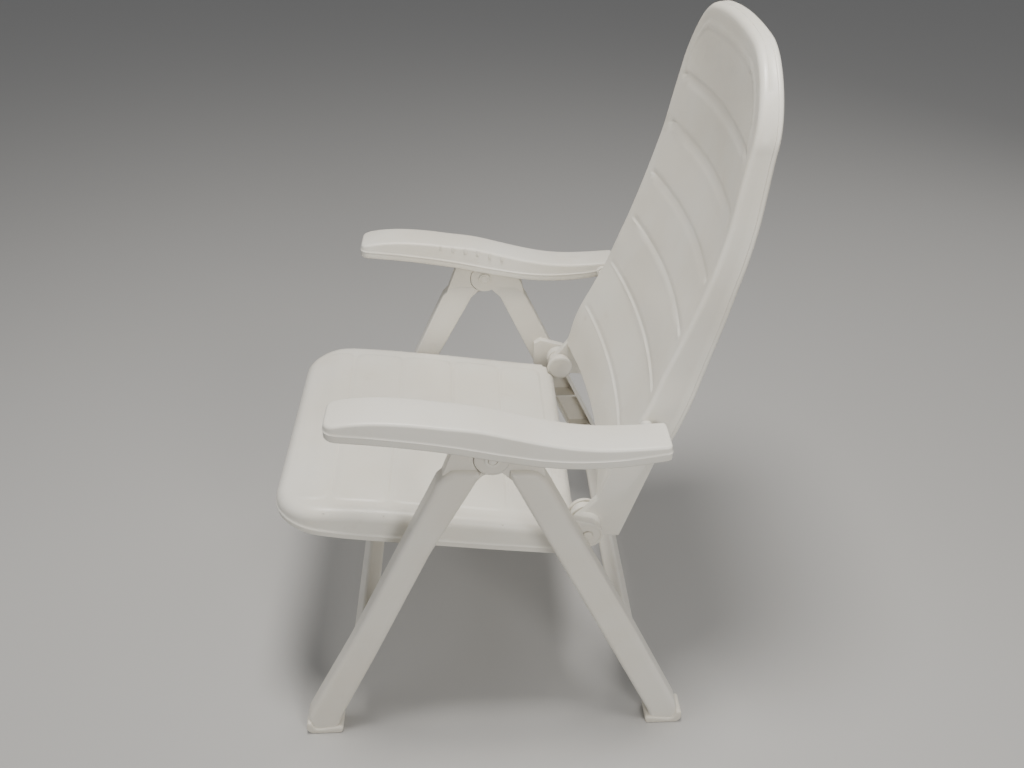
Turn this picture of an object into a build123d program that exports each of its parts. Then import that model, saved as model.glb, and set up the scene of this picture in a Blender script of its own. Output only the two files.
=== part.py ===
"""Folding high-back garden armchair in moulded plastic, in millimetres.

The sitter faces -Y, +X is the sitter's left and +Z is up. The origin is on the floor,
at the centre of the chair's bounding box. Side profiles are (y, z) points.
"""
from build123d import *
import os
from math import cos, radians, sin

os.makedirs("parts", exist_ok=True)

# Pivot axes, all parallel to X
LEG_PIVOT = (-10.0, 554.0)
SEAT_PIVOT = (131.0, 393.0)
ARM_PIVOT = (207.0, 572.0)

# Legs: lateral layers measured from the centre plane
LEG_INNER = 262.0
LEG_OUTER = 295.0
PLATE_OUTER = 285.0
TONGUE_INNER = 268.8
TONGUE_OUTER = 279.2
SLOT_PLAY = 0.4
HUB_R = 26.0
HUB_PLAY = 0.8
TONGUE_R = 24.0
LEG_WALL = 3.5
LEG_EDGE_R = 5.0
FOOT_LIP = 2.0
CHANNEL_LEVELS = (50.0, 130.0, 210.0, 290.0, 340.0)

# Pins
PIN_PLAY = 0.05
LEG_PIN_R = 6.5
LEG_PIN_HEAD_R = 11.0
RING_R = 11.0
RING_THICK = 2.0
PIN_DOME = 2.0
PIN_ROUND = 1.5
SEAT_PIN_R = 6.0
CAP_R = 24.0
CAP_INNER = 203.0
CAP_OUTER = 209.0
ARM_PIN_R = 6.0
ARM_PIN_HEAD_R = 7.0
ARM_PIN_HEAD = 2.6
LATCH_PEG = (10.0, 592.0)
LATCH_PEG_R = 4.0
LATCH_SPAN = (251.0, 303.0)
STUD = (-139.0, 357.4)
STUD_R = 8.0
STUD_TIP = 226.0
STUD_ROOT = 12.0
STUD_ROOT_R = 6.0
PIN_RECESS = 2.0
ARM_PIN_END = 260.0
ARM_BOSS_R = 11.0
BACK_BOSS = (218.0, 243.4)
BACK_BOSS_R = 12.0

# Lateral layers of the seat hinge
SEAT_LUG = (209.5, 221.5)
SEAT_LUG_R = 21.0
EAR = (222.5, 236.0)
EAR_R = 20.0
EAR_BOSS_OUTER = 249.2
HINGE_PLAY = 0.4
CAP_SPACE = 2.0
LEG_LUG_INNER = 250.0
LEG_LUG_R = 22.5
LEG_LUG_NECK = ((98, 382), (131, 371), (138, 415), (98, 422))
LEG_LUG_ROOT = (98.0, 402.0)
LEG_LUG_ROOT_R = 20.0

# Crossbars
BAR_WIDTH = 38.0
BAR_DEPTH = 26.0
BAR_WALL = 3.5
FRONT_BAR = (-214.0, 188.0)
REAR_BAR = (199.0, 200.0)
LEG_LEAN = 26.0
BAR_CORNER_R = 6.0

# Seat
SEAT_HALF = 240.0
SEAT_FRONT = -346.0
SEAT_REAR = 119.0
SEAT_BOW = 15.0
SEAT_CORNER_R = 65.0
SEAT_WALL = 3.0
SEAT_EDGE_R = 13.0
SEAT_TOP = (
    (-360, 424), (-284, 430), (-212, 425), (-140, 418),
    (-68, 408), (4, 398), (78, 388), (140, 379),
)
SEAT_BOTTOM = ((140, 332), (70, 340), (-147, 367), (-228, 378), (-300, 392), (-360, 402))
SEAT_CUT = ((100, 300), (160, 300), (160, 440), (100, 440))
SEAT_LUG_WEB = ((30, 350), (30, 388), (112, 379), (125, 400), (140, 375), (112, 345))
SEAT_RIB_X = (-160, -80, 0, 80, 160)
SEAT_RIB_Y = (-258, -170, -82, 6, 80)
SEAT_RIB_DEPTH = 18.0
SEAT_RIB_THICK = 2.5

# Backrest
BACK_WALL = 3.0
BACK_DISH = 24.0
BACK_HALF = 236.0
BACK_LOW = 426.0
BACK_CREASE = (
    (139, 427), (152, 504), (206, 600), (241, 700),
    (272, 800), (293, 900), (308, 1000), (313, 1090),
)
BACK_REAR = (
    (344, 1090), (344.2, 1000), (332, 900), (313, 800),
    (291, 700), (264, 600), (223, 504), (190, 428),
)
BACK_EAR = (
    (181, 369), (160, 375), (124, 380), (120, 400), (139, 427),
    (152, 504), (190, 504), (223, 504), (190, 428),
)
BACK_SHOULDER = ((104, 1078), (182, 1046), (214, 968))
BACK_SIDE = (
    (214, 968), (219, 920), (226, 850), (233, 760),
    (231, 650), (227, 560), (230, 490), (236, 440),
)

# Armrests
ARM_INNER = 244.0
ARM_OUTER = 310.0
ARM_WALL = 3.0
ARM_TOP = (
    (-231, 634), (-173, 638), (-95, 634), (-27, 622),
    (41, 606), (111, 588), (164, 584), (227, 588),
)
ARM_BOTTOM = (
    (227, 566), (157, 556), (80, 557), (5, 570),
    (-62, 585), (-153, 600), (-231, 610),
)
ARM_CORNER_R = 14.0
NOTCH_PITCH = 22.0
NOTCH_TOOTH = 5.0
NOTCH_DEPTH = 9.0
NOTCH_COUNT = 6
NOTCH_FIRST = 21.0

# Leg, hub plate and foot side profiles
FRONT_LEG = (
    (-316, 32), (-233, 200), (-84, 528), (-66, 549), (-17, 549),
    (-100, 391), (-200, 163), (-258, 40), (-268, 8), (-312, 8),
)
FRONT_PLATE = ((-84, 528), (-52, 596), (-15, 596), (-15, 540))
FRONT_TONGUE = ((-84, 528), (-15, 585), (-10, 554), (-22, 530), (-60, 480))
FRONT_FOOT = ((-319, 34), (-321, 12), (-312, 0), (-268, 0), (-260, 9), (-257, 16))
REAR_LEG = (
    (250, 8), (9, 538), (9, 548), (46, 548), (64, 528),
    (106, 436), (219, 202), (294, 40), (299, 8),
)
REAR_PLATE = ((64, 528), (38, 584), (16, 598), (0, 598), (-8, 575), (9, 530))
REAR_FOOT = ((245, 18), (252, 0), (300, 0), (307, 14), (300, 42))
SIDES = ((1, "left"), (-1, "right"))


def export(part, name):
    part.label = name
    export_step(part, f"parts/{name}.step")


def slab(points, side, inner, outer, mode=Mode.ADD):
    """Extrudes a (y, z) polygon from one lateral layer to another."""
    with BuildSketch(Plane.YZ.offset(side * inner)) as profile:
        Polygon(*points, align=None)
    extrude(profile.sketch, amount=side * (outer - inner), mode=mode)


def disc(centre, radius, side, inner, outer, mode=Mode.ADD):
    """Extrudes a circle about a pivot from one lateral layer to another."""
    with BuildSketch(Plane.YZ.offset(side * inner)) as profile:
        with Locations(centre):
            Circle(radius)
    extrude(profile.sketch, amount=side * (outer - inner), mode=mode)


def channel(points, side):
    """Opens a leg on its inner side, between cross ribs, below the seat."""
    for low, high in zip(CHANNEL_LEVELS, CHANNEL_LEVELS[1:]):
        with BuildSketch(Plane.YZ.offset(side * LEG_INNER)) as pocket:
            Polygon(*points, align=None)
            offset(amount=-LEG_WALL, kind=Kind.INTERSECTION, mode=Mode.REPLACE)
            with Locations((0, (low + high) / 2)):
                Rectangle(4 * LEG_OUTER, high - low - LEG_WALL, mode=Mode.INTERSECT)
        extrude(pocket.sketch, amount=side * (LEG_OUTER - LEG_INNER - LEG_WALL), mode=Mode.SUBTRACT)


def front_leg(side):
    slot_inner = TONGUE_INNER - SLOT_PLAY
    slot_outer = TONGUE_OUTER + SLOT_PLAY
    with BuildPart() as leg:
        slab(FRONT_LEG, side, LEG_INNER, LEG_OUTER)
        outer_rim = leg.faces().sort_by(Axis.X)[-1 if side > 0 else 0].edges()
        fillet(outer_rim, LEG_EDGE_R)
        slab(FRONT_PLATE, side, LEG_INNER, PLATE_OUTER)
        disc(LEG_PIVOT, HUB_R + HUB_PLAY, side, LEG_INNER, LEG_OUTER, Mode.SUBTRACT)
        disc(LEG_PIVOT, TONGUE_R, side, TONGUE_INNER, TONGUE_OUTER)
        slab(FRONT_TONGUE, side, TONGUE_INNER, TONGUE_OUTER)
        channel(FRONT_LEG, side)
        disc(LEG_PIVOT, LEG_PIN_R + PIN_PLAY, side, slot_inner, slot_outer, Mode.SUBTRACT)
        disc(STUD, STUD_ROOT_R, side, LEG_INNER, LEG_INNER + STUD_ROOT, Mode.SUBTRACT)
    return leg.part


def rear_leg(side):
    slot_inner = TONGUE_INNER - SLOT_PLAY
    slot_outer = TONGUE_OUTER + SLOT_PLAY
    with BuildPart() as leg:
        slab(REAR_LEG, side, LEG_INNER, LEG_OUTER)
        outer_rim = leg.faces().sort_by(Axis.X)[-1 if side > 0 else 0].edges()
        fillet(outer_rim, LEG_EDGE_R)
        slab(REAR_PLATE, side, LEG_INNER, PLATE_OUTER)
        disc(LEG_PIVOT, HUB_R, side, LEG_INNER, PLATE_OUTER)
        disc(LEG_PIVOT, HUB_R + HUB_PLAY, side, PLATE_OUTER, LEG_OUTER, Mode.SUBTRACT)
        disc(LEG_PIVOT, HUB_R + HUB_PLAY, side, slot_inner, slot_outer, Mode.SUBTRACT)
        disc(SEAT_PIVOT, LEG_LUG_R, side, LEG_LUG_INNER, LEG_INNER)
        disc(LEG_LUG_ROOT, LEG_LUG_ROOT_R, side, LEG_LUG_INNER, LEG_INNER)
        slab(LEG_LUG_NECK, side, LEG_LUG_INNER, LEG_INNER)
        channel(REAR_LEG, side)
        disc(LEG_PIVOT, LEG_PIN_R, side, LEG_INNER, PLATE_OUTER, Mode.SUBTRACT)
        disc(SEAT_PIVOT, SEAT_PIN_R + PIN_PLAY, side, LEG_LUG_INNER, LEG_INNER, Mode.SUBTRACT)
        disc(LATCH_PEG, LATCH_PEG_R, side, LEG_INNER, PLATE_OUTER, Mode.SUBTRACT)
    return leg.part


def foot(side, outline, leg_outline):
    """A cap over the leg's lower end, with a floor under it."""
    with BuildPart() as cap:
        slab(outline, side, LEG_INNER - FOOT_LIP, LEG_OUTER + FOOT_LIP)
        slab(leg_outline, side, LEG_INNER, LEG_OUTER, Mode.SUBTRACT)
    return cap.part


def crossbar(centre, lean, y_sign):
    """A hollow bar between the two inner leg faces, leaning with its legs."""
    with BuildPart() as bar:
        upward = (0, sin(radians(lean)) * y_sign, cos(radians(lean)))
        section = Plane(origin=(-LEG_INNER, *centre), x_dir=upward, z_dir=(1, 0, 0))
        with BuildSketch(section):
            RectangleRounded(BAR_WIDTH, BAR_DEPTH, BAR_CORNER_R)
            offset(amount=-BAR_WALL, mode=Mode.SUBTRACT)
        extrude(amount=2 * LEG_INNER)
    return bar.part


def seat_block(inset, drop):
    """The seat's outer or inner envelope: its plan outline cut to the side profile."""
    with BuildPart() as block:
        with BuildSketch(Plane.XY.offset(300)) as plan:
            with BuildLine():
                half = SEAT_HALF - inset
                front = SEAT_FRONT + inset
                bow = ThreePointArc((-half, front + SEAT_BOW), (0, front), (half, front + SEAT_BOW))
                Polyline(bow @ 1, (half, SEAT_REAR - inset), (-half, SEAT_REAR - inset), bow @ 0)
            make_face()
            fillet(plan.vertices().group_by(Axis.Y)[0], SEAT_CORNER_R - inset)
        extrude(amount=150)
        with BuildSketch(Plane.YZ.offset(-SEAT_HALF - 1)):
            with BuildLine():
                top = Spline(*[(y, z - drop) for y, z in SEAT_TOP])
                low = Polyline(*[(y, z - 2 * drop) for y, z in SEAT_BOTTOM])
                Line(top @ 1, low @ 0)
                Line(low @ 1, top @ 0)
            make_face()
        extrude(amount=2 * SEAT_HALF + 2, mode=Mode.INTERSECT)
    return block.part


def seat():
    outer = seat_block(0, 0)
    inner = seat_block(SEAT_WALL, SEAT_WALL)
    with BuildPart() as ribs:
        for x in SEAT_RIB_X:
            with Locations((x, 0, 390)):
                Box(SEAT_RIB_THICK, 1000, 200)
        for y in SEAT_RIB_Y:
            with Locations((0, y, 390)):
                Box(2 * SEAT_HALF, SEAT_RIB_THICK, 200)
        with BuildSketch(Plane.YZ.offset(-SEAT_HALF)):
            with BuildLine():
                top = Spline(*[(y, z - SEAT_WALL) for y, z in SEAT_TOP])
                low = Spline(*[(y, z - SEAT_WALL - SEAT_RIB_DEPTH) for y, z in SEAT_TOP])
                Line(top @ 0, low @ 0)
                Line(top @ 1, low @ 1)
            make_face()
        extrude(amount=2 * SEAT_HALF, mode=Mode.INTERSECT)
        add(inner, mode=Mode.INTERSECT)
    with BuildPart() as shell:
        add(outer)
        rim = shell.faces().filter_by(lambda f: f.normal_at().Z > 0.8).edges()
        fillet(rim, SEAT_EDGE_R)
        add(inner, mode=Mode.SUBTRACT)
        add(ribs.part)
        for side, _ in SIDES:
            disc(SEAT_PIVOT, CAP_R + CAP_SPACE, side, CAP_INNER - CAP_SPACE, SEAT_HALF, Mode.SUBTRACT)
            slab(SEAT_CUT, side, SEAT_LUG[1] + HINGE_PLAY, SEAT_HALF, Mode.SUBTRACT)
            disc(SEAT_PIVOT, SEAT_LUG_R, side, *SEAT_LUG)
            slab(SEAT_LUG_WEB, side, *SEAT_LUG)
            disc(SEAT_PIVOT, SEAT_PIN_R + PIN_PLAY, side, *SEAT_LUG, Mode.SUBTRACT)
    return shell.part


def back_outline(inset):
    """The backrest's outline seen from the front, on a plane behind the chair."""
    (crest_x, crest_z), (mid_x, mid_z), (side_x, side_z) = BACK_SHOULDER
    diagonal = inset * cos(radians(45))
    with BuildSketch(Plane.XZ.offset(-400)) as outline:
        with BuildLine():
            crest = Line((0, crest_z - inset), (crest_x, crest_z - inset))
            ThreePointArc(crest @ 1, (mid_x - diagonal, mid_z - diagonal), (side_x - inset, side_z))
            edge = Spline(*[(x - inset, z) for x, z in BACK_SIDE])
            Polyline(edge @ 1, (BACK_HALF - inset, BACK_LOW + inset), (0, BACK_LOW + inset))
            mirror(about=Plane.YZ)
        make_face()
    return outline.sketch


def backrest():
    with BuildPart() as frame:
        extrude(back_outline(0), amount=300)
        extrude(back_outline(BACK_WALL), amount=300, mode=Mode.SUBTRACT)
        with BuildSketch(Plane.YZ.offset(-BACK_HALF - 1)):
            with BuildLine():
                front = Spline(*BACK_CREASE)
                rear = Spline(*BACK_REAR)
                Line(front @ 1, rear @ 0)
                Line(rear @ 1, front @ 0)
            make_face()
        extrude(amount=2 * BACK_HALF + 2, mode=Mode.INTERSECT)
    with BuildPart() as panel:
        with BuildLine(Plane.YZ) as path:
            Spline(*BACK_CREASE)
        with BuildSketch(Plane(origin=path.line @ 0, x_dir=(1, 0, 0), z_dir=path.line % 0)):
            with BuildLine():
                near = ThreePointArc((-BACK_HALF, 0), (0, BACK_DISH), (BACK_HALF, 0))
                depth = BACK_DISH + BACK_WALL
                far = ThreePointArc((-BACK_HALF, BACK_WALL), (0, depth), (BACK_HALF, BACK_WALL))
                Line(near @ 0, far @ 0)
                Line(near @ 1, far @ 1)
            make_face()
        sweep(path=path.line)
        extrude(back_outline(1), amount=400, mode=Mode.INTERSECT)
    with BuildPart() as back:
        add(frame.part)
        add(panel.part)
        for side, _ in SIDES:
            slab(BACK_EAR, side, *EAR)
            disc(SEAT_PIVOT, EAR_R, side, EAR[0], EAR_BOSS_OUTER)
            disc(ARM_PIVOT, BACK_BOSS_R, side, *BACK_BOSS)
            disc(SEAT_PIVOT, SEAT_PIN_R + PIN_PLAY, side, EAR[0], EAR_BOSS_OUTER, Mode.SUBTRACT)
            disc(ARM_PIVOT, ARM_PIN_R + PIN_PLAY, side, *BACK_BOSS, Mode.SUBTRACT)
    return back.part


def arm_profile(x, inset):
    """An armrest's side profile. When inset it keeps the end walls and runs out below."""
    shift = {y: inset if y < 0 else -inset for y, _ in (ARM_TOP[0], ARM_TOP[-1])}
    with BuildSketch(Plane.YZ.offset(x)) as profile:
        with BuildLine():
            top = Spline(*[(y + shift.get(y, 0), z - inset) for y, z in ARM_TOP])
            low = Spline(*[(y + shift.get(y, 0), z - 4 * inset) for y, z in ARM_BOTTOM])
            Line(top @ 1, low @ 0)
            Line(low @ 1, top @ 0)
        make_face()
    return profile.sketch


def arm_top_height(y):
    """Height of an armrest's top at y, between its profile points."""
    for (y0, z0), (y1, z1) in zip(ARM_TOP, ARM_TOP[1:]):
        if y0 <= y <= y1:
            return z0 + (z1 - z0) * (y - y0) / (y1 - y0)


def armrest(side):
    with BuildPart() as arm:
        extrude(arm_profile(side * ARM_INNER, 0), amount=side * (ARM_OUTER - ARM_INNER))
        corners = arm.edges().filter_by(Axis.Z, tolerance=2)
        fillet(corners.group_by(Axis.Y)[0], ARM_CORNER_R)
        width = ARM_OUTER - ARM_INNER - 2 * ARM_WALL
        extrude(arm_profile(side * (ARM_INNER + ARM_WALL), ARM_WALL), amount=side * width, mode=Mode.SUBTRACT)
        for tooth in range(NOTCH_COUNT):
            y = NOTCH_FIRST - tooth * NOTCH_PITCH
            z = arm_top_height(y) - ARM_WALL - NOTCH_DEPTH / 2
            with Locations((side * (ARM_INNER + ARM_OUTER) / 2, y, z)):
                Box(ARM_OUTER - ARM_INNER - ARM_WALL, NOTCH_TOOTH, NOTCH_DEPTH + ARM_WALL)
        disc(ARM_PIVOT, ARM_BOSS_R, side, ARM_INNER, ARM_PIN_END)
        disc(ARM_PIVOT, ARM_PIN_R + PIN_PLAY, side, ARM_INNER, ARM_PIN_END, Mode.SUBTRACT)
    return arm.part


def leg_pivot_pin(side):
    """Headed pin through the leg hub: head inside, domed end outside."""
    with BuildPart() as pin:
        disc(LEG_PIVOT, LEG_PIN_R, side, LEG_INNER, PLATE_OUTER + RING_THICK + PIN_DOME)
        disc(LEG_PIVOT, LEG_PIN_HEAD_R, side, LEG_INNER - RING_THICK, LEG_INNER)
        fillet(pin.edges().sort_by(Axis.X)[-1 if side > 0 else 0], PIN_ROUND)
    return pin.part


def leg_pivot_ring(side):
    with BuildPart() as ring:
        disc(LEG_PIVOT, RING_R, side, PLATE_OUTER, PLATE_OUTER + RING_THICK)
        disc(LEG_PIVOT, LEG_PIN_R, side, PLATE_OUTER, PLATE_OUTER + RING_THICK, Mode.SUBTRACT)
    return ring.part


def seat_hinge_pin(side):
    with BuildPart() as pin:
        disc(SEAT_PIVOT, SEAT_PIN_R, side, CAP_INNER + PIN_RECESS, LEG_INNER - 1)
    return pin.part


def seat_hinge_cap(side):
    """Round cap on the inner end of the seat hinge pin."""
    with BuildPart() as cap:
        disc(SEAT_PIVOT, CAP_R, side, CAP_INNER, CAP_OUTER)
        fillet(cap.edges().sort_by(Axis.X)[0 if side > 0 else -1], PIN_RECESS)
        disc(SEAT_PIVOT, SEAT_PIN_R, side, CAP_INNER + PIN_RECESS, CAP_OUTER, Mode.SUBTRACT)
    return cap.part


def armrest_pin(side):
    """Headed steel pin through the backrest's side boss and the armrest's inner boss."""
    head_end = BACK_BOSS[0] - HINGE_PLAY
    with BuildPart() as pin:
        disc(ARM_PIVOT, ARM_PIN_R, side, BACK_BOSS[0] - ARM_PIN_HEAD, ARM_PIN_END + 1)
        disc(ARM_PIVOT, ARM_PIN_HEAD_R, side, head_end - ARM_PIN_HEAD, head_end)
    return pin.part


def latch_peg(side):
    """Cross peg at the top of the rear leg that the armrest's notches drop onto."""
    with BuildPart() as peg:
        disc(LATCH_PEG, LATCH_PEG_R, side, LATCH_SPAN[0], LATCH_SPAN[1])
    return peg.part


def seat_stud(side):
    """Support stud from the front leg's inner face to under the seat's skirt."""
    with BuildPart() as stud:
        disc(STUD, STUD_R, side, STUD_TIP, LEG_INNER)
        disc(STUD, STUD_ROOT_R, side, LEG_INNER, LEG_INNER + STUD_ROOT)
    return stud.part


for side, name in SIDES:
    export(front_leg(side), f"front_leg_{name}")
    export(rear_leg(side), f"rear_leg_{name}")
    export(foot(side, FRONT_FOOT, FRONT_LEG), f"front_foot_{name}")
    export(foot(side, REAR_FOOT, REAR_LEG), f"rear_foot_{name}")
    export(armrest(side), f"armrest_{name}")
    export(leg_pivot_pin(side), f"leg_pivot_pin_{name}")
    export(leg_pivot_ring(side), f"leg_pivot_ring_{name}")
    export(seat_hinge_pin(side), f"seat_hinge_pin_{name}")
    export(seat_hinge_cap(side), f"seat_hinge_cap_{name}")
    export(armrest_pin(side), f"armrest_pin_{name}")
    export(latch_peg(side), f"latch_peg_{name}")
    export(seat_stud(side), f"seat_stud_{name}")

export(crossbar(FRONT_BAR, LEG_LEAN, 1), "front_crossbar")
export(crossbar(REAR_BAR, LEG_LEAN, -1), "rear_crossbar")
export(seat(), "seat")
export(backrest(), "backrest")
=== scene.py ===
"""Folding high-back garden armchair in off-white moulded plastic, dressed around its CAD frame.

Shapes are in millimetres in the CAD frame: -Y is the way the sitter faces, +X the sitter's
left, +Z up. Meshes are scaled to metres as they are made.
"""
from math import cos, pi, radians, sin

import bmesh
import bpy
import numpy as np
from mathutils import Matrix, Vector


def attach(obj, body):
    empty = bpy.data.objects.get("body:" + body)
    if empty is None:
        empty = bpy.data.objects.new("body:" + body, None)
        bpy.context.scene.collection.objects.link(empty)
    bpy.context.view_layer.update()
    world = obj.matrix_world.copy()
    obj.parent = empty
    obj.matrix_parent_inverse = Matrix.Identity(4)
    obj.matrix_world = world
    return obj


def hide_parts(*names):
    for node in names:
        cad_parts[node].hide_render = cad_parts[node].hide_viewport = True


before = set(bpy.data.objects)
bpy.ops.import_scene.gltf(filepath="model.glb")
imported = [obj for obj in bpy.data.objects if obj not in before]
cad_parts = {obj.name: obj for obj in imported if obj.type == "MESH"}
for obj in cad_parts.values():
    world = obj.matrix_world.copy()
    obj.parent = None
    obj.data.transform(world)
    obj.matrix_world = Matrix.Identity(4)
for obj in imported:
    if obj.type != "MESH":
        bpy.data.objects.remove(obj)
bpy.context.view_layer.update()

MM = 0.001
SIDES = ((1, "left"), (-1, "right"))

# Pivots as (y, z)
LEG_PIVOT = (-10.0, 554.0)
SEAT_PIVOT = (131.0, 393.0)
ARM_PIVOT = (207.0, 572.0)
WALL = 3.0

EDGE_STEPS = 6
BACK_STEPS = 4
SMOOTH_ANGLE = 40
EXTRUDED_SMOOTH_ANGLE = 35


# ---------------------------------------------------------------- curves and fields
def smooth(low, high, value):
    """Smoothstep of value from 0 at low to 1 at high, for numbers or arrays."""
    t = np.clip((np.asarray(value, float) - low) / (high - low), 0.0, 1.0)
    return t * t * (3.0 - 2.0 * t)


def curve_through(points):
    """A smooth function y(x) through points, by cubic Hermite pieces."""
    xs, ys = np.array(sorted(points), float).T
    slopes = np.gradient(ys, xs)

    def value(x):
        x = np.asarray(x, float)
        i = np.clip(np.searchsorted(xs, x) - 1, 0, len(xs) - 2)
        step = xs[i + 1] - xs[i]
        t = np.clip((x - xs[i]) / step, -0.5, 1.5)
        a = (1 + 2 * t) * (1 - t) ** 2 * ys[i] + t * t * (3 - 2 * t) * ys[i + 1]
        return a + step * (t * (1 - t) ** 2 * slopes[i] - t * t * (1 - t) * slopes[i + 1])

    return value


def rounded_polygon(corners, arc_steps=10):
    """Closed outline from (u, v, radius) corners, counter-clockwise, and where each arc's middle is."""
    outline, middles = [], []
    count = len(corners)
    for i, (u, v, radius) in enumerate(corners):
        here = np.array((u, v), float)
        before = np.array(corners[i - 1][:2], float) - here
        after = np.array(corners[(i + 1) % count][:2], float) - here
        a, b = before / np.linalg.norm(before), after / np.linalg.norm(after)
        half = 0.5 * np.arccos(np.clip(a @ b, -1, 1))
        bisector = (a + b) / np.linalg.norm(a + b)
        centre = here + bisector * radius / sin(half)
        start = here + a * radius / np.tan(half) - centre
        turn = pi - 2 * half
        side = 1.0 if a[0] * b[1] - a[1] * b[0] < 0 else -1.0
        steps = max(2, 2 * (arc_steps // 2)) if radius > 0.01 else 0
        middles.append(len(outline) + steps // 2)
        for k in range(steps + 1):
            angle = side * turn * (k / steps if steps else 0.0)
            c, s = cos(angle), sin(angle)
            outline.append(centre + np.array((c * start[0] - s * start[1], s * start[0] + c * start[1])))
    return np.array(outline), middles


def outward_normals(loop):
    """Unit outward normals of a closed counter-clockwise loop."""
    tangent = np.roll(loop, -1, axis=0) - np.roll(loop, 1, axis=0)
    normal = np.stack((tangent[:, 1], -tangent[:, 0]), axis=1)
    return normal / np.maximum(np.linalg.norm(normal, axis=1, keepdims=True), 1e-9)


def resample(points, axis, values):
    """Points of an open polyline where its coordinate along axis reaches each value."""
    key = points[:, axis]
    order = slice(None) if key[-1] > key[0] else slice(None, None, -1)
    return np.stack([np.interp(values, key[order], points[order, i]) for i in (0, 1)], axis=1)


def graded(low, high, coarse, fine, centres, reach):
    """Sorted stations from low to high, coarse apart but fine within reach of each centre."""
    stations = set(np.round(np.linspace(low, high, max(2, int((high - low) / coarse) + 1)), 4))
    for centre in centres:
        near = np.arange(centre - reach, centre + reach + fine / 2, fine)
        stations = {s for s in stations if abs(s - centre) > reach + fine}
        stations.update(np.round(near[(near > low) & (near < high)], 4))
    stations.update((round(low, 4), round(high, 4)))
    return np.array(sorted(stations))


# ---------------------------------------------------------------- mesh helpers
def new_object(name, vertices, faces, body):
    """A mesh object from vertices in millimetres, riding on a body."""
    mesh = bpy.data.meshes.new(name)
    mesh.from_pydata([tuple(v) for v in np.asarray(vertices, float) * MM], [], [tuple(f) for f in faces])
    mesh.validate()
    mesh.update()
    obj = bpy.data.objects.new(name, mesh)
    bpy.context.scene.collection.objects.link(obj)
    finish_surface(obj)
    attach(obj, body)
    return obj


def finish_surface(obj, angle=SMOOTH_ANGLE):
    """Consistent outward normals and shading that is smooth below the given angle."""
    bm = bmesh.new()
    bm.from_mesh(obj.data)
    bmesh.ops.remove_doubles(bm, verts=bm.verts, dist=1e-6)
    bmesh.ops.recalc_face_normals(bm, faces=bm.faces)
    for face in bm.faces:
        face.smooth = True
    limit = radians(angle)
    for edge in bm.edges:
        edge.smooth = len(edge.link_faces) != 2 or edge.calc_face_angle(0) < limit
    bm.to_mesh(obj.data)
    bm.free()


def join(target, *others):
    """Makes one object of several, keeping the first one's name and body."""
    bpy.ops.object.select_all(action="DESELECT")
    for obj in (target, *others):
        obj.select_set(True)
    bpy.context.view_layer.objects.active = target
    bpy.ops.object.join()
    return target


def shell_grid(loop, middles, rows_u, rows_v, inset):
    """Grid sides of an inset loop between four corner indices, as bottom, right, top and left."""
    ring = loop - outward_normals(loop) * inset
    a, b, c, d = middles
    closed = np.concatenate((ring, ring))
    size = len(ring)
    spans = []
    for start, end in ((a, b), (b, c), (c, d), (d, a)):
        if end <= start:
            end += size
        spans.append(closed[start:end + 1])
    bottom, right, top, left = spans

    def place(span, axis, rows):
        first, last = span[0][axis], span[-1][axis]
        return resample(span, axis, first + (last - first) * rows)

    return (place(bottom, 0, rows_u), place(right, 1, rows_v),
            place(top[::-1], 0, rows_u), place(left[::-1], 1, rows_v))


def coons(sides, rows_u, rows_v):
    """Fills four grid sides with a (v, u) grid of points."""
    bottom, right, top, left = sides
    s = rows_u[None, :, None]
    t = rows_v[:, None, None]
    flat = (1 - t) * bottom[None] + t * top[None] + (1 - s) * left[:, None] + s * right[:, None]
    corners = ((1 - s) * (1 - t) * bottom[0] + s * (1 - t) * bottom[-1]
               + (1 - s) * t * top[0] + s * t * top[-1])
    return flat - corners


def border_of(sides):
    """The grid's border points in one counter-clockwise ring."""
    bottom, right, top, left = sides
    return np.concatenate((bottom[:-1], right[:-1], top[::-1][:-1], left[::-1][:-1]))


def polygon_sides(corners, grid_corners, rows_u, rows_v, warp=None):
    """Grid sides, as a function of inset, of a polygon with rounded corners."""
    loop, middles = rounded_polygon(corners)
    if warp:
        loop = warp(loop)
    marks = [middles[i] for i in grid_corners]
    return lambda inset: shell_grid(loop, marks, rows_u, rows_v, inset)


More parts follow.
